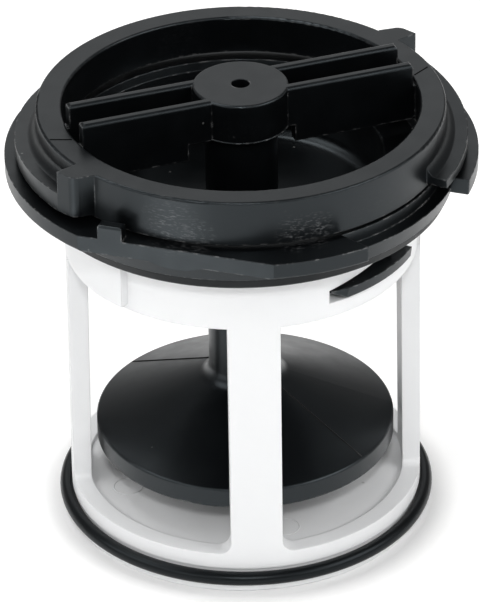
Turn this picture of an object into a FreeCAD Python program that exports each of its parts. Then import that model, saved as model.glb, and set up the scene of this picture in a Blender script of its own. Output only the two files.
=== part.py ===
import FreeCAD, Part
import math
import os

# Drain-pump filter of a washing machine, in millimetres.
# The axis of the filter is Z, the underside of the base is at height 0 and the handle points up.
# Angles are in degrees from +X, counter-clockwise seen from above.
# Everything that is not round repeats after half a turn.

os.makedirs("parts", exist_ok=True)

Vector = FreeCAD.Vector
UP = Vector(0, 0, 1)
ORIGIN = Vector(0, 0, 0)

# Driving sizes
RIM_RADIUS = 33.0
CAGE_INNER_RADIUS = 25.9
WALL = 2.6
CLEARANCE = 0.3
RUNNING_CLEARANCE = 0.05
EDGE_ROUND = 0.4

# Cage: base, four pillars and collar
SILL_RADIUS = CAGE_INNER_RADIUS + 3.4
SILL_INNER_RADIUS = CAGE_INNER_RADIUS + 0.5
BASE_RADIUS = CAGE_INNER_RADIUS + 4.1
COLLAR_RADIUS = CAGE_INNER_RADIUS + WALL
BAND_RADIUS = COLLAR_RADIUS - 0.45
BAND_SHIFT = 2.0
BAND_SHIFT_ANGLE = 60.0
BAND_START = -8.8
BAND_END = 46.4
BAND_STEP = 1.0
PILLAR_WIDTH = 8.4
SIDE_PILLAR_RADIUS = COLLAR_RADIUS + 0.5
SIDE_PILLAR_CORNER = 1.2
FRONT_PILLAR_CORNER = 2.2
WINDOW_HEIGHT = 42.5
COLLAR_HEIGHT = 10.5
OUTLET_RADIUS = 12.0
FLOOR_THICKNESS = 2.3
FLOOR_STEP = 0.7
SILL_TOP = 6.8
FLOOR_TOP = SILL_TOP - FLOOR_STEP
FLOOR_BOTTOM = FLOOR_TOP - FLOOR_THICKNESS
COLLAR_BOTTOM = SILL_TOP + WINDOW_HEIGHT
COLLAR_TOP = COLLAR_BOTTOM + COLLAR_HEIGHT

# Seal ring in the base groove
SEAL_SECTION = 2.3
SEAL_REACH = 1.35
SEAL_CENTRE_RADIUS = BASE_RADIUS + SEAL_REACH - SEAL_SECTION / 2
SEAL_CENTRE_HEIGHT = 2.7
SEAL_CLEARANCE = 0.02
GROOVE_SLACK = 0.1
GROOVE_RADIUS = SEAL_CENTRE_RADIUS - SEAL_SECTION / 2 - SEAL_CLEARANCE
GROOVE_BOTTOM = SEAL_CENTRE_HEIGHT - SEAL_SECTION / 2 - GROOVE_SLACK
GROOVE_TOP = SEAL_CENTRE_HEIGHT + SEAL_SECTION / 2 + GROOVE_SLACK

# Flange body: shoulder, keyed flange, neck and the cup inside it
FLANGE_RADIUS = RIM_RADIUS + 5.3
SHOULDER_RADIUS = RIM_RADIUS + 2.2
SHOULDER_FOOT = SHOULDER_RADIUS - 0.9
HUB_RADIUS = RIM_RADIUS
NECK_RADIUS = CAGE_INNER_RADIUS - CLEARANCE
GASKET_THICKNESS = 2.0
FLANGE_THICKNESS = 2.7
GASKET_TOP = COLLAR_TOP + GASKET_THICKNESS
FLANGE_BOTTOM = GASKET_TOP + 2.3
FLANGE_TOP = FLANGE_BOTTOM + FLANGE_THICKNESS
SHOULDER_TOP = FLANGE_BOTTOM + 0.6
NECK_BOTTOM = COLLAR_BOTTOM + 2.3
NECK_SKIRT = 2.3
CUP_WALL = 2.4
CUP_FILLET = 2.0
CUP_RADIUS = NECK_RADIUS - WALL
CUP_UNDERSIDE = NECK_BOTTOM + NECK_SKIRT
CUP_FLOOR = CUP_UNDERSIDE + CUP_WALL
STEP_DEPTH = 1.4
STEP_DRAFT = 0.5
STEP_HEIGHT = FLANGE_TOP - STEP_DEPTH
FLAT_DISTANCE = RIM_RADIUS + 1.75
FLAT_ANGLE = -111.0
GAP_START_INNER = -65.3
GAP_START_OUTER = -62.5
GAP_END = -22.2

# Flange gasket, lying on top of the collar
GASKET_EDGE = 0.4
GASKET_RADIUS = SHOULDER_FOOT - 0.75

# Stop tab, flush with the flat on the flange
TAB_WIDTH = 4.0
TAB_DEPTH = 2.0
TAB_OFFSET = 10.7
TAB_TOP = FLANGE_TOP + 2.4

# Snap lugs of the neck and the slots they sit in
LUG_START = -63.7
LUG_END = -26.5
LUG_LEAD = 5.0
LUG_RADIUS = COLLAR_RADIUS + 1.1
LUG_FOOT_RADIUS = COLLAR_RADIUS + 0.9
LUG_HEIGHT = 1.75
LUG_BOTTOM = NECK_BOTTOM + 0.9
LUG_TOP = LUG_BOTTOM + LUG_HEIGHT
LUG_TIP_BOTTOM = LUG_BOTTOM + 1.0
LUG_TIP_TOP = LUG_TOP - 0.4
SLOT_SLACK = 0.7
SLOT_TOP = LUG_TIP_TOP + CLEARANCE
SLOT_RISE = 3.9
SLOT_ANGLE = 1.0
SLOT_SECTIONS = 4

# Stem and deflector
STEM_RADIUS = 5.9
PIN_RADIUS = 4.0
PIN_LENGTH = 4.8
BEAD_DROP = 1.8
BEAD_REACH = 0.35
BEAD_HALF = 0.6
STEM_TOP = FLANGE_TOP + 4.4
PIN_TOP = STEM_TOP + PIN_LENGTH
BEAD_HEIGHT = PIN_TOP - BEAD_DROP
DEFLECTOR_RADIUS = CAGE_INNER_RADIUS - 1.1
DEFLECTOR_RIM_HEIGHT = 3.25
DEFLECTOR_EDGE_BOTTOM = SILL_TOP + 6.2
DEFLECTOR_EDGE_TOP = DEFLECTOR_EDGE_BOTTOM + DEFLECTOR_RIM_HEIGHT
DEFLECTOR_SLOPE = 23.0
DEFLECTOR_WALL = 2.2
DEFLECTOR_FILLET = 2.6
STEM_BOTTOM = DEFLECTOR_EDGE_TOP + 4.15

# Knob: rim, boss, finger bar, bayonet ramps and end lugs
RIM_WIDTH = 4.15
RIM_HEIGHT = 7.6
RIM_WALL = 1.4
RIM_ROOF = 2.2
RIM_INNER_RADIUS = RIM_RADIUS - RIM_WIDTH
RIM_BOTTOM = FLANGE_TOP + 0.6
RIM_INNER_BOTTOM = RIM_BOTTOM + 1.2
RIM_TOP = RIM_BOTTOM + RIM_HEIGHT
STEP_RADIUS = RIM_INNER_RADIUS + 0.55
BOSS_RADIUS = 7.75
BOSS_CAP = 2.15
BOSS_TOP = PIN_TOP + BOSS_CAP
SOCKET_RADIUS = PIN_RADIUS + RUNNING_CLEARANCE
SOCKET_TOP = PIN_TOP + CLEARANCE
VENT_RADIUS = 1.5
BAR_ANGLE = 16.3
RIB_PITCH = 6.8
RIB_WIDTH = 1.8
RIB_ROUND = 0.6
RIB_REACH = RIM_INNER_RADIUS - 0.75
RIB_ROOT_REACH = RIM_INNER_RADIUS + 0.55
RIB_ROOT_TOP = RIM_TOP - 0.7
RIB_BOTTOM = FLANGE_TOP + 1.5
RIB_NOTCH_REACH = BOSS_RADIUS + 2.65
RAMP_START = -30.7
RAMP_END = 34.3
RAMP_RADIUS = RIM_RADIUS + 3.55
RAMP_BOTTOM = FLANGE_TOP + 1.1
RAMP_LOW_EDGE = RAMP_BOTTOM + 1.4
RAMP_HIGH_EDGE = RAMP_BOTTOM + 3.2
RAMP_FILLET = 1.5
RAMP_HOLLOW = 0.34
RAMP_SECTIONS = 6
END_LUG_WIDTH = 8.1
END_LUG_NOSE_ANGLE = 3.9
END_LUG_CORNER_ANGLE = 5.3
END_LUG_SIDE_ANGLE = 6.2
END_LUG_NOSE_RADIUS = RAMP_RADIUS - 0.35
END_LUG_CORNER_RADIUS = RAMP_RADIUS - 0.75
END_LUG_SIDE_RADIUS = RIM_RADIUS + 2.0


def at(radius, angle, height=0.0):
    """Point at a radius and an angle."""
    turn = math.radians(angle)
    return Vector(radius * math.cos(turn), radius * math.sin(turn), height)


def turned(shape, angle):
    """Copy of a shape turned about the axis."""
    copy = shape.copy()
    copy.rotate(ORIGIN, UP, angle)
    return copy


def both(shape):
    """A shape and its copy half a turn on."""
    return [shape, turned(shape, 180)]


def profile_face(points):
    """Face in the XZ plane from (radius, height) points."""
    corners = [Vector(radius, 0, height) for radius, height in points]
    return Part.Face(Part.makePolygon(corners + corners[:1]))


def revolved(points, start=0.0, sweep=360.0):
    """Solid swept about the axis by a (radius, height) outline."""
    solid = profile_face(points).revolve(ORIGIN, UP, sweep)
    return turned(solid, start)


def sector(inner, outer, bottom, top, start, end):
    """Piece of a ring between two angles."""
    return revolved([(inner, bottom), (outer, bottom), (outer, top), (inner, top)], start, end - start)


def cylinder(radius, bottom, top):
    return Part.makeCylinder(radius, top - bottom, Vector(0, 0, bottom))


def box(x0, x1, y0, y1, z0, z1):
    return Part.makeBox(x1 - x0, y1 - y0, z1 - z0, Vector(x0, y0, z0))


def prism(points, bottom, top):
    """Upright solid over a polygon of plan points."""
    corners = [Vector(point.x, point.y, bottom) for point in points]
    return Part.Face(Part.makePolygon(corners + corners[:1])).extrude(UP * (top - bottom))


def circles(shape, radius, height):
    """Full or part circle edges of a shape about the axis, at a radius and a height."""
    found = []
    for edge in shape.Edges:
        curve = edge.Curve
        if not isinstance(curve, Part.Circle):
            continue
        if abs(curve.Radius - radius) < 1e-4 and abs(curve.Center.z - height) < 1e-4:
            found.append(edge)
    return found


def save(shape, name):
    """Write a shape that is one solid."""
    solids = shape.removeSplitter().Solids
    if len(solids) != 1:
        raise ValueError(name + " is not one solid")
    solids[0].exportStep("parts/" + name + ".step")


# Cage
def cage_base():
    """Floor with the outlet, sill under the windows, groove and lip for the seal ring."""
    base = revolved([
        (OUTLET_RADIUS, FLOOR_BOTTOM),
        (CAGE_INNER_RADIUS - CLEARANCE, FLOOR_BOTTOM),
        (CAGE_INNER_RADIUS, 0),
        (BASE_RADIUS, 0),
        (BASE_RADIUS, GROOVE_BOTTOM),
        (GROOVE_RADIUS, GROOVE_BOTTOM),
        (GROOVE_RADIUS, GROOVE_TOP),
        (SILL_RADIUS, GROOVE_TOP),
        (SILL_RADIUS, SILL_TOP),
        (SILL_INNER_RADIUS, SILL_TOP),
        (SILL_INNER_RADIUS, FLOOR_TOP),
        (OUTLET_RADIUS, FLOOR_TOP),
    ])
    return base.makeFillet(EDGE_ROUND, circles(base, BASE_RADIUS, 0))


def pillar_pair(top_radius, corner):
    """Two opposite pillars with a slight draft, rounded where they stand on the sill."""
    tube = revolved([
        (SILL_INNER_RADIUS, SILL_TOP),
        (SILL_RADIUS, SILL_TOP),
        (top_radius, COLLAR_BOTTOM),
        (CAGE_INNER_RADIUS, COLLAR_BOTTOM),
    ])
    half = PILLAR_WIDTH / 2
    window = box(-SILL_RADIUS, SILL_RADIUS, half, SILL_RADIUS, SILL_TOP, COLLAR_BOTTOM)
    foot = []
    for edge in window.Edges:
        middle = edge.CenterOfMass
        if abs(middle.z - SILL_TOP) < 1e-6 and abs(middle.y - half) < 1e-6:
            foot.append(edge)
    return tube.cut(both(window.makeFillet(corner, foot)))


def slot_section(angle, top):
    """Upright cut through the collar wall at one angle."""
    inner = CAGE_INNER_RADIUS - WALL
    corners = [
        at(inner, angle, LUG_BOTTOM - SLOT_SLACK),
        at(BASE_RADIUS, angle, LUG_BOTTOM - SLOT_SLACK),
        at(BASE_RADIUS, angle, top),
        at(inner, angle, top),
    ]
    return Part.makePolygon(corners + corners[:1])


def lug_slot():
    """Slot in the collar for a snap lug, with a top edge that rises away from the lug's slanted end."""
    sections = []
    for index in range(SLOT_SECTIONS):
        share = index / (SLOT_SECTIONS - 1)
        angle = LUG_START - SLOT_ANGLE + share * (LUG_END - LUG_START + 2 * SLOT_ANGLE)
        sections.append(slot_section(angle, SLOT_TOP + share * SLOT_RISE))
    return Part.makeLoft(sections, True)


def collar_band():
    """Raised band over a side pillar, which grows out of the collar towards its end."""
    disc = cylinder(BAND_RADIUS, COLLAR_BOTTOM, COLLAR_TOP)
    disc.translate(at(BAND_SHIFT, BAND_SHIFT_ANGLE))
    far = BASE_RADIUS + WALL
    band = disc.common(sector(CAGE_INNER_RADIUS, far, COLLAR_BOTTOM, COLLAR_TOP, BAND_START, BAND_END))
    step = sector(COLLAR_RADIUS, far, COLLAR_BOTTOM, COLLAR_BOTTOM + BAND_STEP, -BAND_START, BAND_END)
    return band.cut(step)


def cage_collar():
    """Collar with a raised band over each side pillar and a slot for each snap lug."""
    collar = cylinder(COLLAR_RADIUS, COLLAR_BOTTOM, COLLAR_TOP).fuse(both(collar_band()))
    collar = collar.cut(cylinder(CAGE_INNER_RADIUS, COLLAR_BOTTOM, COLLAR_TOP))
    return collar.cut(both(lug_slot()))


def cage():
    side_pillars = pillar_pair(SIDE_PILLAR_RADIUS, SIDE_PILLAR_CORNER)
    front_pillars = turned(pillar_pair(COLLAR_RADIUS, FRONT_PILLAR_CORNER), 90)
    return cage_base().fuse([side_pillars, front_pillars, cage_collar()])


# Rubber parts
def seal_ring():
    return Part.makeTorus(SEAL_CENTRE_RADIUS, SEAL_SECTION / 2, Vector(0, 0, SEAL_CENTRE_HEIGHT))


def gasket():
    return revolved([
        (CAGE_INNER_RADIUS, COLLAR_TOP),
        (GASKET_RADIUS - GASKET_EDGE, COLLAR_TOP),
        (GASKET_RADIUS, COLLAR_TOP + GASKET_EDGE),
        (SHOULDER_FOOT, GASKET_TOP),
        (CAGE_INNER_RADIUS, GASKET_TOP),
    ])


# Flange body
def flange_plate():
    """Flange round the hub, with two gaps."""
    plate = cylinder(FLANGE_RADIUS, FLANGE_BOTTOM, FLANGE_TOP)
    plate = plate.makeFillet(EDGE_ROUND, circles(plate, FLANGE_RADIUS, FLANGE_BOTTOM))
    plate = plate.cut(cylinder((STEP_RADIUS + HUB_RADIUS) / 2, FLANGE_BOTTOM, FLANGE_TOP))
    far = 2 * FLANGE_RADIUS
    gap = prism([
        at(HUB_RADIUS, GAP_START_INNER),
        at(FLANGE_RADIUS, GAP_START_OUTER),
        at(far, GAP_START_OUTER),
        at(far, GAP_END),
        at(HUB_RADIUS, GAP_END),
    ], FLANGE_BOTTOM, FLANGE_TOP)
    gap = gap.cut(cylinder(HUB_RADIUS, FLANGE_BOTTOM, FLANGE_TOP))
    return plate.cut(both(gap))


def beyond_flat():
    """Everything outside the keying flat."""
    block = box(FLAT_DISTANCE, 2 * FLANGE_RADIUS, -FLANGE_RADIUS, FLANGE_RADIUS, GASKET_TOP, FLANGE_TOP)
    return turned(block, FLAT_ANGLE)


def stop_tab():
    """Tab standing on the flange, with its front face in the flat."""
    near = -TAB_OFFSET - TAB_WIDTH / 2
    tab = box(FLAT_DISTANCE - TAB_DEPTH, FLAT_DISTANCE, near, near + TAB_WIDTH, FLANGE_BOTTOM, TAB_TOP)
    upper = [edge for edge in tab.Edges if edge.CenterOfMass.z > TAB_TOP - 1e-6]
    return turned(tab.makeFillet(EDGE_ROUND, upper), FLAT_ANGLE)


def flange_core():
    """Shoulder on the gasket, hub, and the neck inside the collar with a stepped cup open to the top."""
    core = revolved([
        (0, CUP_UNDERSIDE),
        (CUP_RADIUS, CUP_UNDERSIDE),
        (CUP_RADIUS, NECK_BOTTOM),
        (NECK_RADIUS, NECK_BOTTOM),
        (NECK_RADIUS, GASKET_TOP),
        (SHOULDER_FOOT, GASKET_TOP),
        (SHOULDER_RADIUS, SHOULDER_TOP),
        (HUB_RADIUS, SHOULDER_TOP),
        (HUB_RADIUS, FLANGE_TOP),
        (STEP_RADIUS, FLANGE_TOP),
        (STEP_RADIUS - STEP_DRAFT, STEP_HEIGHT),
        (CUP_RADIUS, STEP_HEIGHT),
        (CUP_RADIUS, CUP_FLOOR),
        (0, CUP_FLOOR),
    ])
    core = core.makeFillet(CUP_FILLET, circles(core, CUP_RADIUS, CUP_FLOOR))
    return core.makeFillet(EDGE_ROUND, circles(core, CUP_RADIUS, STEP_HEIGHT))


def snap_lug():
    """Lug of the neck with a slanted end that runs out in a point."""
    ring = revolved([
        (NECK_RADIUS - WALL / 2, LUG_BOTTOM),
        (LUG_FOOT_RADIUS, LUG_BOTTOM),
        (LUG_RADIUS, LUG_TOP),
        (NECK_RADIUS - WALL / 2, LUG_TOP),
    ], LUG_START, LUG_END - LUG_START)
    far = 2 * LUG_RADIUS
    plan = prism([
        at(NECK_RADIUS - WALL, LUG_START),
        at(COLLAR_RADIUS, LUG_START),
        at(LUG_RADIUS, LUG_START + LUG_LEAD),
        at(far, LUG_START + LUG_LEAD),
        at(far, LUG_END),
        at(NECK_RADIUS - WALL, LUG_END),
    ], LUG_BOTTOM, LUG_TOP)
    lead = COLLAR_RADIUS * math.sin(math.radians(LUG_LEAD))
    side = Part.Face(Part.makePolygon([
        Vector(0, 0, LUG_TIP_BOTTOM),
        Vector(0, lead, LUG_BOTTOM),
        Vector(0, far, LUG_BOTTOM),
        Vector(0, far, LUG_TOP),
        Vector(0, lead, LUG_TOP),
        Vector(0, 0, LUG_TIP_TOP),
        Vector(0, 0, LUG_TIP_BOTTOM),
    ])).extrude(Vector(far, 0, 0))
    return ring.common(plan).common(turned(side, LUG_START))


def stem_with_deflector():
    """Stem with the pin on top and the conical deflector at its foot."""
    slope = math.tan(math.radians(DEFLECTOR_SLOPE))
    rise = (DEFLECTOR_RADIUS - STEM_RADIUS) * slope
    cone_top = DEFLECTOR_EDGE_TOP + rise
    under_radius = DEFLECTOR_RADIUS - DEFLECTOR_WALL
    under_edge = DEFLECTOR_EDGE_TOP - DEFLECTOR_WALL / 2
    under_top = under_edge + (under_radius - STEM_RADIUS) * slope
    solid = revolved([
        (0, STEM_BOTTOM),
        (STEM_RADIUS, under_top),
        (under_radius, under_edge),
        (under_radius, DEFLECTOR_EDGE_BOTTOM),
        (DEFLECTOR_RADIUS, DEFLECTOR_EDGE_BOTTOM),
        (DEFLECTOR_RADIUS, DEFLECTOR_EDGE_TOP),
        (STEM_RADIUS, cone_top),
        (STEM_RADIUS, STEM_TOP),
        (PIN_RADIUS, STEM_TOP),
        (PIN_RADIUS, BEAD_HEIGHT - BEAD_HALF),
        (PIN_RADIUS + BEAD_REACH, BEAD_HEIGHT),
        (PIN_RADIUS, BEAD_HEIGHT + BEAD_HALF),
        (PIN_RADIUS, PIN_TOP - EDGE_ROUND),
        (PIN_RADIUS - EDGE_ROUND, PIN_TOP),
        (0, PIN_TOP),
    ])
    solid = solid.makeFillet(DEFLECTOR_FILLET, circles(solid, STEM_RADIUS, cone_top))
    return solid.makeFillet(EDGE_ROUND, circles(solid, DEFLECTOR_RADIUS, DEFLECTOR_EDGE_TOP))


def flange_body():
    body = flange_core().fuse(flange_plate())
    body = body.cut(both(beyond_flat()))
    return body.fuse(both(stop_tab()) + both(snap_lug()) + [stem_with_deflector()])


# Knob
def knob_rim():
    """Ring of the knob, hollow from below, with the inner wall shorter than the outer one."""
    rim = revolved([
        (RIM_INNER_RADIUS, RIM_INNER_BOTTOM),
        (RIM_INNER_RADIUS + RIM_WALL, RIM_INNER_BOTTOM),
        (RIM_INNER_RADIUS + RIM_WALL, RIM_TOP - RIM_ROOF),
        (RIM_RADIUS - RIM_WALL, RIM_TOP - RIM_ROOF),
        (RIM_RADIUS - RIM_WALL, RIM_BOTTOM),
        (RIM_RADIUS, RIM_BOTTOM),
        (RIM_RADIUS, RIM_TOP),
        (RIM_INNER_RADIUS, RIM_TOP),
    ])
    edges = circles(rim, RIM_INNER_RADIUS, RIM_TOP) + circles(rim, RIM_RADIUS, RIM_TOP)
    return rim.makeFillet(EDGE_ROUND, edges)


def boss():
    body = cylinder(BOSS_RADIUS, STEM_TOP, BOSS_TOP)
    return body.makeFillet(EDGE_ROUND, circles(body, BOSS_RADIUS, BOSS_TOP))


def finger_rib():
    """One rib of the finger bar, rooted in the rim and notched under the boss to one side of the stem."""
    near = -(RIB_PITCH + RIB_WIDTH) / 2
    far = near + RIB_WIDTH
    rib = box(-RIB_REACH, RIB_REACH, near, far, RIB_BOTTOM, BOSS_TOP)
    rounded = [edge for edge in rib.Edges if edge.CenterOfMass.z > BOSS_TOP - 1e-6]
    rib = rib.makeFillet(RIB_ROUND, rounded)
    root = box(-RIB_ROOT_REACH, RIB_ROOT_REACH, near, far, RIM_INNER_BOTTOM, RIB_ROOT_TOP)
    notch = box(-RIB_NOTCH_REACH, BOSS_RADIUS, near, far, RIB_BOTTOM, STEM_TOP)
    return turned(rib.fuse(root).cut(notch), BAR_ANGLE)


def ramp_section(angle, edge):
    """Outline of the bayonet ramp: a flat ledge with a hollow where it meets the rim wall."""
    inner = RIM_RADIUS - RIM_WALL / 2
    inset = RAMP_HOLLOW * RAMP_FILLET
    root = at(RIM_RADIUS, angle, edge + RAMP_FILLET)
    bend = at(RIM_RADIUS + inset, angle, edge + inset)
    foot = at(RIM_RADIUS + RAMP_FILLET, angle, edge)
    tip = at(RAMP_RADIUS, angle, edge)
    low_tip = at(RAMP_RADIUS, angle, RAMP_BOTTOM)
    low_root = at(inner, angle, RAMP_BOTTOM)
    high_root = at(inner, angle, edge + RAMP_FILLET)
    return Part.Wire([
        Part.makeLine(high_root, root),
        Part.Arc(root, bend, foot).toShape(),
        Part.makeLine(foot, tip),
        Part.makeLine(tip, low_tip),
        Part.makeLine(low_tip, low_root),
        Part.makeLine(low_root, high_root),
    ])


def bayonet_ramp():
    """Ledge round the rim that climbs towards the end lug."""
    sections = []
    for index in range(RAMP_SECTIONS):
        share = index / (RAMP_SECTIONS - 1)
        angle = RAMP_START + share * (RAMP_END - RAMP_START)
        edge = RAMP_LOW_EDGE + share * (RAMP_HIGH_EDGE - RAMP_LOW_EDGE)
        sections.append(ramp_section(angle, edge))
    return Part.makeLoft(sections, True)


def end_lug():
    """Lug at the high end of the ramp: a steep side, a nose in line with the ramp and a slanted run-out."""
    inner = RIM_RADIUS - RIM_WALL / 2
    start = RAMP_END
    finish = RAMP_END + END_LUG_WIDTH
    steep = at(RAMP_RADIUS, start)
    nose = at(END_LUG_NOSE_RADIUS, start + END_LUG_NOSE_ANGLE)
    corner = at(END_LUG_CORNER_RADIUS, start + END_LUG_CORNER_ANGLE)
    side = at(END_LUG_SIDE_RADIUS, start + END_LUG_SIDE_ANGLE)
    outline = Part.Wire([
        Part.makeLine(at(inner, start), steep),
        Part.makeLine(steep, nose),
        Part.Arc(nose, corner, side).toShape(),
        Part.makeLine(side, at(RIM_RADIUS, finish)),
        Part.makeLine(at(RIM_RADIUS, finish), at(inner, finish)),
        Part.makeLine(at(inner, finish), at(inner, start)),
    ])
    outline.translate(UP * RAMP_BOTTOM)
    return Part.Face(outline).extrude(UP * (RIM_TOP - RAMP_BOTTOM))


def socket():
    """Bore for the pin with a groove for its bead, and the vent hole above."""
    bore = revolved([
        (0, STEM_TOP),
        (SOCKET_RADIUS, STEM_TOP),
        (SOCKET_RADIUS, BEAD_HEIGHT - BEAD_HALF),
        (SOCKET_RADIUS + BEAD_REACH, BEAD_HEIGHT),
        (SOCKET_RADIUS, BEAD_HEIGHT + BEAD_HALF),
        (SOCKET_RADIUS, SOCKET_TOP),
        (0, SOCKET_TOP),
    ])
    return bore.fuse(cylinder(VENT_RADIUS, STEM_TOP, BOSS_TOP))


def knob():
    body = knob_rim().fuse([boss()] + both(finger_rib()))
    body = body.fuse(both(bayonet_ramp()) + both(end_lug()))
    return body.cut(socket())


save(cage(), "cage")
save(seal_ring(), "seal_ring")
save(gasket(), "gasket")
save(flange_body(), "flange_body")
save(knob(), "knob")
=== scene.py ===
import math

import bpy
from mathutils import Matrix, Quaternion, Vector


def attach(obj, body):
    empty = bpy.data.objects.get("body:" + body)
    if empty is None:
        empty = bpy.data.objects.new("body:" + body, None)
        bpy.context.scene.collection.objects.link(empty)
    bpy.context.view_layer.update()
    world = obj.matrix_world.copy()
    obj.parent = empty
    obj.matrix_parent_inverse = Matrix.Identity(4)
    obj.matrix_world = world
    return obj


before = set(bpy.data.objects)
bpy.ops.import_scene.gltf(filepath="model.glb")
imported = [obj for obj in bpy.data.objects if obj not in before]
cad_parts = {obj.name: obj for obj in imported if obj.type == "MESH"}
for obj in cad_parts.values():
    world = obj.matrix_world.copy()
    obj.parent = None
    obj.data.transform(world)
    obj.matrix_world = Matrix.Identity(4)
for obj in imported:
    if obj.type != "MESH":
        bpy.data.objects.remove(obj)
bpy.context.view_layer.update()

MM = 0.001

# Camera of the photograph
CAMERA_PLACE = Vector((-36.55, -643.26, 427.7)) * MM
CAMERA_AIM = Vector((0.04774, 0.85397, -0.51814))
CAMERA_ROLL = math.radians(-0.843)
CAMERA_LENS = 273.2
SENSOR = 36.0

# Surroundings: pale at the horizon, dimmer above; the height is the sine of the elevation
WORLD_HORIZON = 0.50
WORLD_SKY = 0.18
WORLD_SKY_HEIGHT = 0.30

# Floor, with a lift to white that is kept low beside the base, a painted shadow round it, and is full a
# little farther out
FLOOR_SIZE = 8.0
FLOOR_DROP = 0.05 * MM
FLOOR_SHADE_SCALE = 3.0
FLOOR_SHADES = (0.89, 0.91)
FLOOR_ROUGHNESS = 0.9
FLOOR_PAINTED_SHADOW_RADII = (31.5 * MM, 36.0 * MM)
FLOOR_LIFT_SHADOWED_TO_FULL = (0.08, 0.40)
FLOOR_LIFT_COLOUR = (1.0, 0.99, 0.975, 1)

# Lamps: flat panels with a place, a point they face, a width, a height and a brightness
LAMP_AIM = (0.0, 0.0, 0.04)
LAMPS = {
    "rear_panel": ((0.0, 0.50, 0.36), (0.0, 0.0, 0.08), 0.40, 0.32, 0.68),
    "overhead_panel": ((-0.35, 0.22, 1.05), LAMP_AIM, 0.45, 0.45, 4.6),
    "left_panel": ((-0.80, -0.15, 0.62), LAMP_AIM, 0.6, 0.6, 2.2),
    "right_panel": ((0.80, -0.30, 0.66), LAMP_AIM, 0.6, 0.6, 3.2),
    "front_left_panel": ((-0.80, -0.90, 0.65), LAMP_AIM, 0.55, 0.55, 2.1),
    "front_right_panel": ((0.80, -0.90, 0.65), LAMP_AIM, 0.55, 0.55, 2.1),
    "front_spot": ((-0.05, -0.95, 0.85), LAMP_AIM, 0.11, 0.11, 100.0),
    "floor_card": ((-0.09, -0.117, 0.001), (-0.09, -0.117, 1.0), 0.065, 0.065, 1.8),
}

# Colours, as linear light
BLACK_DARK = (0.0012, 0.0014, 0.0017, 1)
BLACK_LIGHT = (0.0020, 0.0023, 0.0027, 1)
BLACK_WORN = (0.16, 0.16, 0.16, 1)
BLACK_SCUFF = (0.095, 0.097, 0.10, 1)
BLACK_SHEEN = (0.81, 0.93, 1.0, 1)
BLACK_LINE = (0.0010, 0.0010, 0.0011, 1)
DUST = (0.26, 0.26, 0.25, 1)
RUBBER_DARK = (0.0014, 0.0015, 0.0017, 1)
RUBBER_LIGHT = (0.0030, 0.0032, 0.0035, 1)
WHITE_LIGHT = (0.922, 0.928, 0.935, 1)
WHITE_DULL = (0.897, 0.905, 0.913, 1)
# Grey of the soil specks on the white, also used for the painted shade along its edges and creases
WHITE_SOIL_AND_EDGE_SHADE = (0.42, 0.41, 0.40, 1)

# Patterns of all materials; a scale is in features per metre, a range is the part of a pattern that counts
NONE_TO_ALL = (0.0, 1.0)
NOISE_DETAIL = 3.0
NOISE_ROUGHNESS = 0.55
GRAIN_DETAIL = 2.0
GRAIN_DEPTH = 0.02 * MM
GLOSS_RANGE = (0.3, 0.7)
EDGE_SAMPLES = 6
EDGE_COSINES = (0.995, 0.85)
SPECK_CORE = 0.5
NEAR_CORE = 0.3

# Black plastic
BLACK_CLOUD_SCALE = 70.0
BLACK_GRAIN_SCALE = 5200.0
BLACK_GRAIN_STRENGTH = 0.12
BLACK_GLOSS_SCALE = 260.0
BLACK_ROUGHNESS = (0.28, 0.35)
BLACK_SHINE = 0.43
BLACK_EDGE = 0.22 * MM
WEAR_EDGE = 0.50 * MM
WEAR_SCALE = 800.0
WEAR_RANGE = (0.52, 0.64)
WEAR_AMOUNT = (0.05, 0.9)
STREAKS_PER_TURN = 260.0
STREAKS_PER_METRE = 4200.0
STREAK_RANGE = (0.52, 0.70)
SCUFF_SCALE = 48.0
SCUFF_RANGE = (0.54, 0.66)
SCUFF_AMOUNT = (0.0, 0.06)
SCUFF_ROUGHNESS = 0.15
DUST_SCALE = 620.0
DUST_SIZE = 0.16
DUST_SHARE = 0.05
DUST_CLOUD_SCALE = 55.0
DUST_RANGE = (0.48, 0.62)

# Moulding lines, dull or as satin as the plastic
LINE_EDGE = 0.03 * MM
DULL_LINE_SHINE = 0.1
DULL_LINE_ROUGHNESS = 0.7
SATIN_LINE_SHINE = BLACK_SHINE
SATIN_LINE_ROUGHNESS = 0.35

# Rubber
RUBBER_CLOUD_SCALE = 160.0
RUBBER_SKIN_PER_TURN = 160.0
RUBBER_SKIN_PER_METRE = 2600.0
RUBBER_SKIN_DETAIL = 4.0
RUBBER_SKIN_STRENGTH = 0.2
RUBBER_SKIN_DEPTH = 0.03 * MM
RUBBER_EDGE = 0.15 * MM
RUBBER_DUST_SCALE = 800.0
RUBBER_DUST_SIZE = 0.14
RUBBER_DUST_SHARE = 0.04
RUBBER_DUST_AMOUNT = 0.7
RUBBER_ROUGHNESS_SPREAD = 0.05
GASKET_SHINE = 0.20
GASKET_ROUGHNESS = 0.50
RING_SHINE = 0.24
RING_ROUGHNESS = 0.34

# White plastic
WHITE_CLOUD_SCALE = 45.0
WHITE_GRAIN_SCALE = 4200.0
WHITE_GRAIN_STRENGTH = 0.08
WHITE_GLOSS_SCALE = 240.0
WHITE_ROUGHNESS = (0.34, 0.44)
WHITE_EDGE = 0.25 * MM
SOIL_SCALE = 420.0
SOIL_SIZE = 0.15
SOIL_SHARE = 0.02
SOIL_CLOUD_SCALE = 60.0
SOIL_RANGE = (0.5, 0.65)
SOIL_AMOUNT = (0.0, 0.7)
# Painted shade: the white is greyed along its outer edges and in its inner creases
EDGE_SHADE_RADIUS = 0.15 * MM
EDGE_SHADE_AMOUNT = 0.20
GLOW_SHARE = 0.15
GLOW_COLOURS = (1.0, 1.0, 1.0)
GLOW_DEPTH = 1.2 * MM

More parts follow.
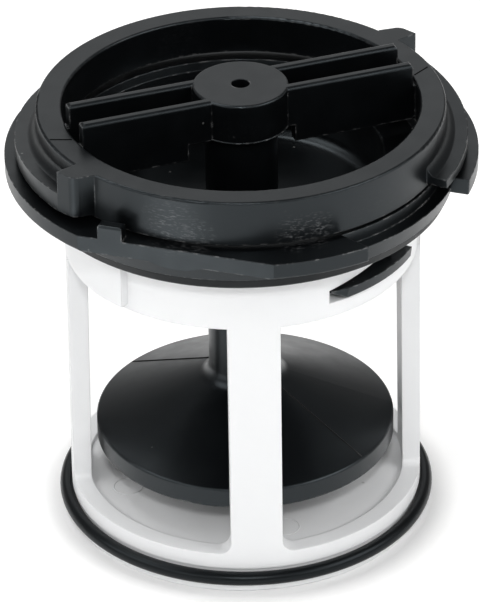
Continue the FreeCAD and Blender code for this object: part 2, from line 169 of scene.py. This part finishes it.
# Sizes of the filter that the small details sit on, in millimetres and degrees
STEM_RADIUS = 5.9
DEFLECTOR_RADIUS = 24.8
DEFLECTOR_EDGE_TOP = 16.25
DEFLECTOR_SLOPE = math.radians(23.0)
CAGE_FLOOR = 6.1
BOSS_RADIUS = 7.75
RIM_RADIUS = 33.0
RIM_TOP = 75.0

# Scuffed places of the knob's outer wall: angle, height and reach
SCUFF_PLACES = (
    (-113.0, 70.2, 5.5),
    (-106.0, 68.9, 3.5),
    (-79.0, 69.0, 3.5),
    (-73.0, 69.2, 3.5),
)

# Section of a raised line, across and up, as shares of its width and height; its foot is sunk
RIDGE_SECTION = ((-0.5, -0.5), (-0.42, 0.45), (-0.18, 0.95), (0.18, 0.95), (0.42, 0.45), (0.5, -0.5))

# Mould parting line of the stem and the deflector, on two opposite sides
FRONT_SEAM_ANGLE = -42.0
REAR_SEAM_ANGLE = FRONT_SEAM_ANGLE + 180.0
SEAM_START_RADIUS = 7.6
SEAM_END_RADIUS = 24.4
STEM_SEAM_BOTTOM = 26.2
STEM_SEAM_TOP = 53.7
SEAM_WIDTH = 0.30
SEAM_HEIGHT = 0.10
SEAM_STEPS = 12

# Ejector marks on the floor of the cage
EJECTOR_ANGLES = (-162.3, -75.9, 17.7, 104.1)
EJECTOR_PLACE_RADIUS = 21.1
EJECTOR_RADIUS = 2.4
EJECTOR_WIDTH = 0.24
EJECTOR_HEIGHT = 0.07
EJECTOR_STEPS = 48

# Moulding burr round the lower edge of the boss
BURR_HEIGHT = 71.4
BURR_WIDTH = 0.30
BURR_REACH = 0.14
BURR_STEPS = 72

# Flow lines on top of the rim, each from one radius and angle to another
RIM_LINES = {
    "rim_line_left": (32.6, 198.2, 29.4, 200.9),
    "rim_line_right": (29.3, 12.3, 32.2, 15.8),
}
RIM_LINE_WIDTH = 0.26
RIM_LINE_HEIGHT = 0.09

UP = Vector((0, 0, 1))


def at(radius, angle, height):
    """Point in metres at a radius and an angle in degrees, from millimetres."""
    turn = math.radians(angle)
    return Vector((radius * math.cos(turn), radius * math.sin(turn), height)) * MM


# Node helpers
def link(tree, output, target):
    """Joins an output socket to an input socket."""
    tree.links.new(output, target)


def blend_colours(tree, factor, first, second):
    """Colour between two colours or sockets, by a factor socket."""
    mix = tree.nodes.new("ShaderNodeMix")
    mix.data_type = "RGBA"
    link(tree, factor, mix.inputs[0])
    for value, socket in ((first, mix.inputs[6]), (second, mix.inputs[7])):
        if isinstance(value, tuple):
            socket.default_value = value
        else:
            link(tree, value, socket)
    return mix.outputs[2]


def remap(tree, value, source, target):
    """Value moved from one range to another and kept inside it."""
    node = tree.nodes.new("ShaderNodeMapRange")
    link(tree, value, node.inputs["Value"])
    node.inputs["From Min"].default_value = source[0]
    node.inputs["From Max"].default_value = source[1]
    node.inputs["To Min"].default_value = target[0]
    node.inputs["To Max"].default_value = target[1]
    return node.outputs["Result"]


def combine(tree, operation, first, second):
    """Math node on two values, each a socket or a number."""
    node = tree.nodes.new("ShaderNodeMath")
    node.operation = operation
    for value, socket in ((first, node.inputs[0]), (second, node.inputs[1])):
        if isinstance(value, (int, float)):
            socket.default_value = value
        else:
            link(tree, value, socket)
    return node.outputs["Value"]


def noise(tree, place, scale, detail=NOISE_DETAIL):
    """Noise with a pattern size given as features per unit of the place."""
    node = tree.nodes.new("ShaderNodeTexNoise")
    link(tree, place, node.inputs["Vector"])
    node.inputs["Scale"].default_value = scale
    node.inputs["Detail"].default_value = detail
    node.inputs["Roughness"].default_value = NOISE_ROUGHNESS
    return node.outputs["Fac"]


def round_place(tree, place, per_turn, per_metre):
    """Coordinates that run round the axis, for marks drawn out along the turning direction."""
    parts = tree.nodes.new("ShaderNodeSeparateXYZ")
    link(tree, place, parts.inputs["Vector"])
    across = parts.outputs["X"]
    depth = parts.outputs["Y"]
    angle = combine(tree, "ARCTAN2", across, combine(tree, "MULTIPLY", depth, -1.0))
    squares = combine(tree, "ADD", combine(tree, "POWER", across, 2.0), combine(tree, "POWER", depth, 2.0))
    radius = combine(tree, "POWER", squares, 0.5)
    joined = tree.nodes.new("ShaderNodeCombineXYZ")
    link(tree, combine(tree, "MULTIPLY", angle, per_turn / (2 * math.pi)), joined.inputs["X"])
    link(tree, combine(tree, "MULTIPLY", parts.outputs["Z"], per_metre), joined.inputs["Y"])
    link(tree, combine(tree, "MULTIPLY", radius, per_metre), joined.inputs["Z"])
    return joined.outputs["Vector"]


def rounded_normal(tree, radius):
    """Normal of the surface with its edges softly rounded."""
    rounded = tree.nodes.new("ShaderNodeBevel")
    rounded.samples = EDGE_SAMPLES
    rounded.inputs["Radius"].default_value = radius
    return rounded.outputs["Normal"]


def edge_mask(tree, radius):
    """One on sharp outer and inner edges, zero on smooth faces."""
    rounded = rounded_normal(tree, radius)
    plain = tree.nodes.new("ShaderNodeNewGeometry")
    compare = tree.nodes.new("ShaderNodeVectorMath")
    compare.operation = "DOT_PRODUCT"
    link(tree, rounded, compare.inputs[0])
    link(tree, plain.outputs["Normal"], compare.inputs[1])
    return remap(tree, compare.outputs["Value"], EDGE_COSINES, NONE_TO_ALL)


def specks(tree, place, scale, size, share):
    """Small sparse spots: one inside a spot, zero elsewhere."""
    cells = tree.nodes.new("ShaderNodeTexVoronoi")
    link(tree, place, cells.inputs["Vector"])
    cells.inputs["Scale"].default_value = scale
    spot = remap(tree, cells.outputs["Distance"], (size, size * SPECK_CORE), NONE_TO_ALL)
    parts = tree.nodes.new("ShaderNodeSeparateColor")
    link(tree, cells.outputs["Color"], parts.inputs["Color"])
    chosen = combine(tree, "LESS_THAN", parts.outputs["Red"], share)
    return combine(tree, "MULTIPLY", spot, chosen)


def near_mask(tree, place, centre, reach):
    """One round a point, falling to zero at a distance from it."""
    away = tree.nodes.new("ShaderNodeVectorMath")
    away.operation = "DISTANCE"
    link(tree, place, away.inputs[0])
    away.inputs[1].default_value = centre
    return remap(tree, away.outputs["Value"], (reach, reach * NEAR_CORE), NONE_TO_ALL)


def surface_normal(tree, height, strength, depth, edge_radius):
    """Bump from a height pattern on edges that are softly rounded."""
    rounded = rounded_normal(tree, edge_radius)
    bump = tree.nodes.new("ShaderNodeBump")
    bump.inputs["Strength"].default_value = strength
    bump.inputs["Distance"].default_value = depth
    link(tree, height, bump.inputs["Height"])
    link(tree, rounded, bump.inputs["Normal"])
    return bump.outputs["Normal"]


def new_material(name):
    """Empty material with its tree, shader and object coordinates."""
    material = bpy.data.materials.new(name)
    material.use_nodes = True
    tree = material.node_tree
    shader = tree.nodes["Principled BSDF"]
    place = tree.nodes.new("ShaderNodeTexCoord").outputs["Object"]
    return material, tree, shader, place


# Marks on the black plastic
def worn_edges(tree, place):
    """Patches along the edges where the black has worn pale."""
    patches = remap(tree, noise(tree, place, WEAR_SCALE), WEAR_RANGE, WEAR_AMOUNT)
    return combine(tree, "MULTIPLY", edge_mask(tree, WEAR_EDGE), patches)


def turning_scuffs(tree, place):
    """Fine streaks round the axis, faint in general and strong at the scuffed places."""
    turned = round_place(tree, place, STREAKS_PER_TURN, STREAKS_PER_METRE)
    streaks = remap(tree, noise(tree, turned, 1.0), STREAK_RANGE, NONE_TO_ALL)
    scuffed = remap(tree, noise(tree, place, SCUFF_SCALE), SCUFF_RANGE, SCUFF_AMOUNT)
    for angle, height, reach in SCUFF_PLACES:
        spot = near_mask(tree, place, at(RIM_RADIUS, angle, height), reach * MM)
        scuffed = combine(tree, "MAXIMUM", scuffed, spot)
    return combine(tree, "MULTIPLY", streaks, scuffed)


def dust_specks(tree, place):
    """Specks of dust that gather in some places."""
    gathered = remap(tree, noise(tree, place, DUST_CLOUD_SCALE), DUST_RANGE, NONE_TO_ALL)
    return combine(tree, "MULTIPLY", specks(tree, place, DUST_SCALE, DUST_SIZE, DUST_SHARE), gathered)


# Materials
def black_plastic():
    """Satin black moulded plastic with fine grain, scuffs round the axis, dust and paler worn edges."""
    material, tree, shader, place = new_material("black_plastic")
    cloud = noise(tree, place, BLACK_CLOUD_SCALE)
    grain = noise(tree, place, BLACK_GRAIN_SCALE, GRAIN_DETAIL)
    scuffs = turning_scuffs(tree, place)
    colour = blend_colours(tree, cloud, BLACK_DARK, BLACK_LIGHT)
    colour = blend_colours(tree, worn_edges(tree, place), colour, BLACK_WORN)
    colour = blend_colours(tree, scuffs, colour, BLACK_SCUFF)
    colour = blend_colours(tree, dust_specks(tree, place), colour, DUST)
    link(tree, colour, shader.inputs["Base Color"])
    gloss = remap(tree, noise(tree, place, BLACK_GLOSS_SCALE), GLOSS_RANGE, BLACK_ROUGHNESS)
    rougher = combine(tree, "MULTIPLY", scuffs, SCUFF_ROUGHNESS)
    link(tree, combine(tree, "ADD", gloss, rougher), shader.inputs["Roughness"])
    normal = surface_normal(tree, grain, BLACK_GRAIN_STRENGTH, GRAIN_DEPTH, BLACK_EDGE)
    link(tree, normal, shader.inputs["Normal"])
    shader.inputs["Specular IOR Level"].default_value = BLACK_SHINE
    shader.inputs["Specular Tint"].default_value = BLACK_SHEEN
    return material


def black_line(name, shine, roughness):
    """Black of the moulding lines, which are too fine to wear pale."""
    material, tree, shader, place = new_material(name)
    grain = noise(tree, place, BLACK_GRAIN_SCALE, GRAIN_DETAIL)
    link(tree, blend_colours(tree, grain, BLACK_LINE, BLACK_DARK), shader.inputs["Base Color"])
    normal = surface_normal(tree, grain, BLACK_GRAIN_STRENGTH, GRAIN_DEPTH, LINE_EDGE)
    link(tree, normal, shader.inputs["Normal"])
    shader.inputs["Roughness"].default_value = roughness
    shader.inputs["Specular IOR Level"].default_value = shine
    return material


def black_rubber(name, shine, roughness):
    """Black rubber with a slightly dusty skin."""
    material, tree, shader, place = new_material(name)
    cloud = noise(tree, place, RUBBER_CLOUD_SCALE)
    turned = round_place(tree, place, RUBBER_SKIN_PER_TURN, RUBBER_SKIN_PER_METRE)
    skin = noise(tree, turned, 1.0, RUBBER_SKIN_DETAIL)
    spots = specks(tree, place, RUBBER_DUST_SCALE, RUBBER_DUST_SIZE, RUBBER_DUST_SHARE)
    dust = combine(tree, "MULTIPLY", spots, RUBBER_DUST_AMOUNT)
    colour = blend_colours(tree, cloud, RUBBER_DARK, RUBBER_LIGHT)
    colour = blend_colours(tree, dust, colour, DUST)
    link(tree, colour, shader.inputs["Base Color"])
    spread = (roughness - RUBBER_ROUGHNESS_SPREAD, roughness + RUBBER_ROUGHNESS_SPREAD)
    link(tree, remap(tree, cloud, GLOSS_RANGE, spread), shader.inputs["Roughness"])
    normal = surface_normal(tree, skin, RUBBER_SKIN_STRENGTH, RUBBER_SKIN_DEPTH, RUBBER_EDGE)
    link(tree, normal, shader.inputs["Normal"])
    shader.inputs["Specular IOR Level"].default_value = shine
    shader.inputs["Specular Tint"].default_value = BLACK_SHEEN
    return material


def white_plastic():
    """White moulded plastic, a little cloudy, with soiled specks, painted shade that greys its edges and
    creases, and light passing into it.
    """
    material, tree, shader, place = new_material("white_plastic")
    cloud = noise(tree, place, WHITE_CLOUD_SCALE)
    grain = noise(tree, place, WHITE_GRAIN_SCALE, GRAIN_DETAIL)
    gathered = remap(tree, noise(tree, place, SOIL_CLOUD_SCALE), SOIL_RANGE, SOIL_AMOUNT)
    soil = combine(tree, "MULTIPLY", specks(tree, place, SOIL_SCALE, SOIL_SIZE, SOIL_SHARE), gathered)
    # Painted shade: grey laid along edges and into creases
    edges = combine(tree, "MULTIPLY", edge_mask(tree, EDGE_SHADE_RADIUS), EDGE_SHADE_AMOUNT)
    colour = blend_colours(tree, cloud, WHITE_DULL, WHITE_LIGHT)
    colour = blend_colours(tree, soil, colour, WHITE_SOIL_AND_EDGE_SHADE)
    colour = blend_colours(tree, edges, colour, WHITE_SOIL_AND_EDGE_SHADE)
    link(tree, colour, shader.inputs["Base Color"])
    gloss = remap(tree, noise(tree, place, WHITE_GLOSS_SCALE), GLOSS_RANGE, WHITE_ROUGHNESS)
    link(tree, gloss, shader.inputs["Roughness"])
    normal = surface_normal(tree, grain, WHITE_GRAIN_STRENGTH, GRAIN_DEPTH, WHITE_EDGE)
    link(tree, normal, shader.inputs["Normal"])
    shader.inputs["Subsurface Weight"].default_value = GLOW_SHARE
    shader.inputs["Subsurface Radius"].default_value = GLOW_COLOURS
    shader.inputs["Subsurface Scale"].default_value = GLOW_DEPTH
    return material


def floor_material():
    """Pale floor that keeps the shadow and is lifted to white for the camera and in reflections; the lift is
    weaker next to the base, a painted shadow round it.
    """
    material, tree, shader, place = new_material("floor")
    shade = remap(tree, noise(tree, place, FLOOR_SHADE_SCALE), NONE_TO_ALL, FLOOR_SHADES)
    link(tree, shade, shader.inputs["Base Color"])
    shader.inputs["Roughness"].default_value = FLOOR_ROUGHNESS
    shader.inputs["Specular IOR Level"].default_value = 0.0
    path = tree.nodes.new("ShaderNodeLightPath")
    seen = combine(tree, "MAXIMUM", path.outputs["Is Camera Ray"], path.outputs["Is Glossy Ray"])
    seen = combine(tree, "MAXIMUM", seen, path.outputs["Is Transmission Ray"])
    away = tree.nodes.new("ShaderNodeVectorMath")
    away.operation = "LENGTH"
    link(tree, place, away.inputs[0])
    # Painted shadow: the lift is smallest next to the base and darkens the floor round it
    lift_with_painted_shadow = remap(tree, away.outputs["Value"], FLOOR_PAINTED_SHADOW_RADII, FLOOR_LIFT_SHADOWED_TO_FULL)
    link(tree, combine(tree, "MULTIPLY", seen, lift_with_painted_shadow), shader.inputs["Emission Strength"])
    shader.inputs["Emission Color"].default_value = FLOOR_LIFT_COLOUR
    return material


# Small details
def mesh_piece(name, vertices, faces, material, body):
    """Smooth mesh that rides on a body and fills a material slot."""
    mesh = bpy.data.meshes.new(name)
    mesh.from_pydata(vertices, [], faces)
    mesh.update()
    for polygon in mesh.polygons:
        polygon.use_smooth = True
    piece = bpy.data.objects.new(name, mesh)
    bpy.context.scene.collection.objects.link(piece)
    mesh.materials.append(material)
    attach(piece, body)


def raised_line(name, points, normals, width, height, material, body, closed=False):
    """Thin rounded ridge along a line of points on a surface; sunk a little so that it grows out of it."""
    count = len(points)
    vertices = []
    for index, point in enumerate(points):
        before = points[(index - 1) % count] if closed else points[max(index - 1, 0)]
        after = points[(index + 1) % count] if closed else points[min(index + 1, count - 1)]
        side = (after - before).cross(normals[index]).normalized()
        for across, up in RIDGE_SECTION:
            vertices.append(point + side * across * width * MM + normals[index] * up * height * MM)
    ring = len(RIDGE_SECTION)
    faces = []
    for index in range(count if closed else count - 1):
        first = index * ring
        second = ((index + 1) % count) * ring
        for corner in range(ring):
            following = (corner + 1) % ring
            faces.append((first + corner, first + following, second + following, second + corner))
    if not closed:
        faces.append(tuple(reversed(range(ring))))
        faces.append(tuple(range((count - 1) * ring, count * ring)))
    mesh_piece(name, vertices, faces, material, body)


def deflector_seam(name, angle, material):
    """Mould parting line down the slope of the deflector."""
    normal = at(math.sin(DEFLECTOR_SLOPE), angle, math.cos(DEFLECTOR_SLOPE)).normalized()
    points = []
    for index in range(SEAM_STEPS + 1):
        radius = SEAM_START_RADIUS + (SEAM_END_RADIUS - SEAM_START_RADIUS) * index / SEAM_STEPS
        height = DEFLECTOR_EDGE_TOP + (DEFLECTOR_RADIUS - radius) * math.tan(DEFLECTOR_SLOPE)
        points.append(at(radius, angle, height))
    normals = [normal] * len(points)
    raised_line(name, points, normals, SEAM_WIDTH, SEAM_HEIGHT, material, "filter")


def stem_seam(name, angle, material):
    """The same parting line up the stem."""
    points = [at(STEM_RADIUS, angle, STEM_SEAM_BOTTOM), at(STEM_RADIUS, angle, STEM_SEAM_TOP)]
    normals = [at(1, angle, 0).normalized()] * len(points)
    raised_line(name, points, normals, SEAM_WIDTH, SEAM_HEIGHT, material, "filter")


def ejector_mark(name, angle, material):
    """Round witness line of an ejector pin on the floor of the cage."""
    centre = at(EJECTOR_PLACE_RADIUS, angle, CAGE_FLOOR)
    points = []
    for index in range(EJECTOR_STEPS):
        points.append(centre + at(EJECTOR_RADIUS, 360 * index / EJECTOR_STEPS, 0))
    normals = [UP] * len(points)
    raised_line(name, points, normals, EJECTOR_WIDTH, EJECTOR_HEIGHT, material,
                "filter", closed=True)


def boss_burr(material):
    """Thin burr left round the lower edge of the boss."""
    angles = [360 * index / BURR_STEPS for index in range(BURR_STEPS)]
    points = [at(BOSS_RADIUS, angle, BURR_HEIGHT) for angle in angles]
    normals = [at(1, angle, 0).normalized() for angle in angles]
    raised_line("boss_burr", points, normals, BURR_WIDTH, BURR_REACH, material,
                "knob", closed=True)


def rim_line(name, start_radius, start_angle, end_radius, end_angle, material):
    """Short flow line across the top of the knob's rim."""
    points = [at(start_radius, start_angle, RIM_TOP), at(end_radius, end_angle, RIM_TOP)]
    normals = [UP] * len(points)
    raised_line(name, points, normals, RIM_LINE_WIDTH, RIM_LINE_HEIGHT, material, "knob")


# Stage
def make_camera():
    """Camera at the place from which the photograph was taken."""
    data = bpy.data.cameras.new("camera")
    data.sensor_width = SENSOR
    data.lens = CAMERA_LENS
    camera = bpy.data.objects.new("camera", data)
    camera.location = CAMERA_PLACE
    camera.rotation_mode = "QUATERNION"
    camera.rotation_quaternion = CAMERA_AIM.to_track_quat("-Z", "Y") @ Quaternion((0, 0, 1), CAMERA_ROLL)
    bpy.context.scene.collection.objects.link(camera)
    bpy.context.scene.camera = camera


def make_lamp(name, place, faces, width, height, brightness):
    """Flat panel of light; its energy keeps the brightness whatever its size."""
    data = bpy.data.lights.new(name, "AREA")
    data.shape = "RECTANGLE"
    data.size = width
    data.size_y = height
    data.energy = brightness * math.pi * width * height
    lamp = bpy.data.objects.new(name, data)
    lamp.location = place
    lamp.rotation_mode = "QUATERNION"
    lamp.rotation_quaternion = (Vector(faces) - Vector(place)).to_track_quat("-Z", "Y")
    bpy.context.scene.collection.objects.link(lamp)


def make_floor():
    """Square floor just under the base."""
    half = FLOOR_SIZE / 2
    mesh = bpy.data.meshes.new("floor")
    corners = [(-half, -half, 0), (half, -half, 0), (half, half, 0), (-half, half, 0)]
    mesh.from_pydata(corners, [], [(0, 1, 2, 3)])
    floor = bpy.data.objects.new("floor", mesh)
    floor.location.z = -FLOOR_DROP
    mesh.materials.append(floor_material())
    bpy.context.scene.collection.objects.link(floor)


def make_world():
    """White surroundings that dim from the horizon upwards."""
    world = bpy.data.worlds.new("studio")
    world.use_nodes = True
    tree = world.node_tree
    background = tree.nodes["Background"]
    background.inputs["Color"].default_value = (1, 1, 1, 1)
    parts = tree.nodes.new("ShaderNodeSeparateXYZ")
    link(tree, tree.nodes.new("ShaderNodeTexCoord").outputs["Generated"], parts.inputs["Vector"])
    strength = remap(tree, parts.outputs["Z"], (0.0, WORLD_SKY_HEIGHT), (WORLD_HORIZON, WORLD_SKY))
    link(tree, strength, background.inputs["Strength"])
    bpy.context.scene.world = world


def dress(node, material):
    """Gives a node of the frame its material."""
    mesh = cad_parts[node].data
    mesh.materials.clear()
    mesh.materials.append(material)


bpy.context.scene.view_settings.view_transform = "Standard"
make_camera()
make_world()
make_floor()
for lamp_name, lamp in LAMPS.items():
    make_lamp(lamp_name, *lamp)

black = black_plastic()
dull_black = black_line("dull_line", DULL_LINE_SHINE, DULL_LINE_ROUGHNESS)
satin_black = black_line("satin_line", SATIN_LINE_SHINE, SATIN_LINE_ROUGHNESS)
gasket_rubber = black_rubber("gasket_rubber", GASKET_SHINE, GASKET_ROUGHNESS)
ring_rubber = black_rubber("ring_rubber", RING_SHINE, RING_ROUGHNESS)
white = white_plastic()
dress("knob", black)
dress("flange_body", black)
dress("gasket", gasket_rubber)
dress("seal_ring", ring_rubber)
dress("cage", white)

deflector_seam("deflector_seam_front", FRONT_SEAM_ANGLE, satin_black)
deflector_seam("deflector_seam_rear", REAR_SEAM_ANGLE, dull_black)
stem_seam("stem_seam_front", FRONT_SEAM_ANGLE, black)
stem_seam("stem_seam_rear", REAR_SEAM_ANGLE, black)
for number, mark_angle in enumerate(EJECTOR_ANGLES):
    ejector_mark(f"ejector_mark_{number}", mark_angle, white)
boss_burr(black)
for line_name, line in RIM_LINES.items():
    rim_line(line_name, *line, dull_black)
